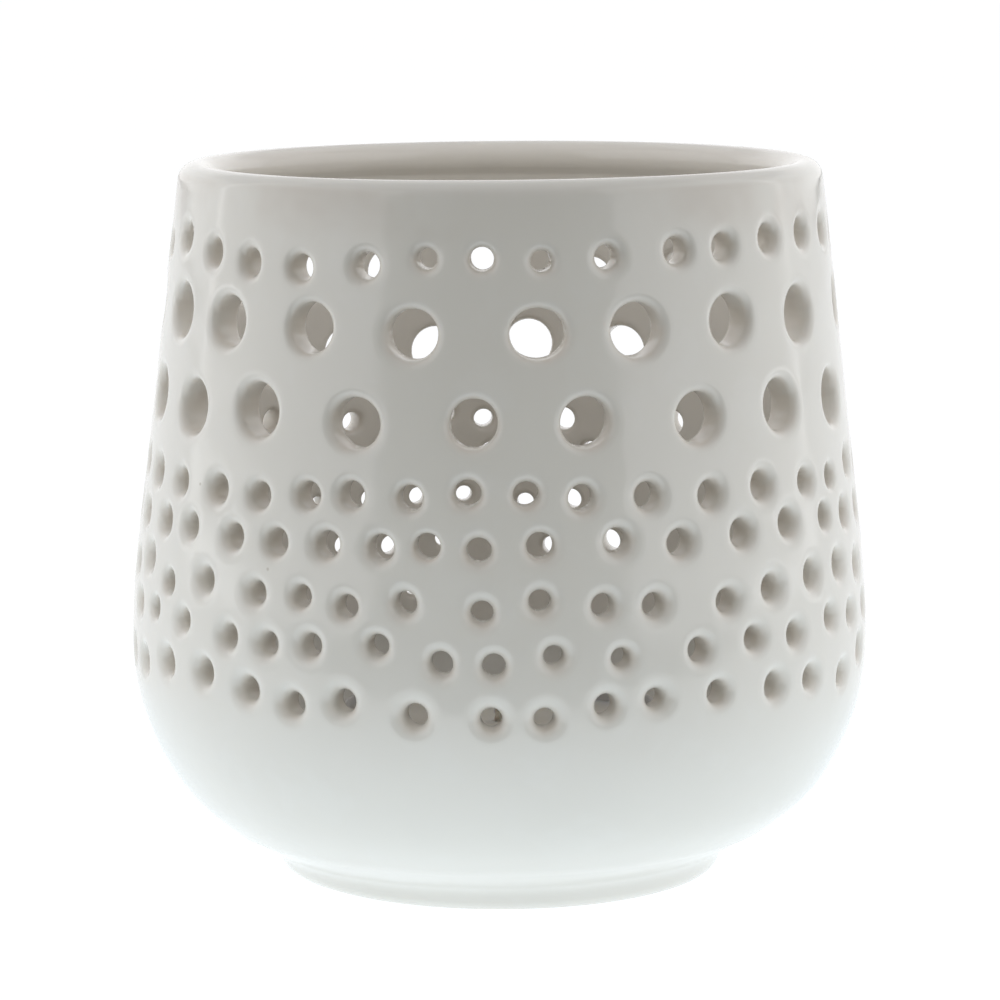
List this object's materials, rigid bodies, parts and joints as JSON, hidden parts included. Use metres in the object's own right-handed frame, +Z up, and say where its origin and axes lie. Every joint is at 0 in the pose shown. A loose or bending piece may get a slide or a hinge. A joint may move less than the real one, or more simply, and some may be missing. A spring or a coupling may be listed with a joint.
{
  "type": "tealight holder",
  "caption": "Round glazed ceramic tealight holder with rows of small and large pierced holes, a rolled rim and a small foot, with a tealight standing inside.",
  "frame": {"origin": "centre of the foot ring, on the surface that the holder stands on", "axes": "+Z up along the vessel's axis; -Y is the front"},
  "size_m": [0.09, 0.09, 0.0869],
  "materials": {
    "white_glaze": "glossy white glaze, thinner and warmer on the hole edges",
    "aluminium": "satin pressed foil",
    "wax": "paraffin wax, soft satin",
    "tinplate": "bright tinplate",
    "cotton": "waxed braided cotton"
  },
  "bodies": {
    "holder": {"holder_shell": "white_glaze"},
    "tealight": {"tealight_cup": "aluminium", "tealight_wax": "wax", "wick_sustainer": "tinplate", "wick": "cotton"}
  },
  "joints": [
    {"name": "tealight_lift", "type": "slide", "parent": "holder", "child": "tealight", "axis": [0, 0, 1], "range_m": [0, 0.09]}
  ]
}
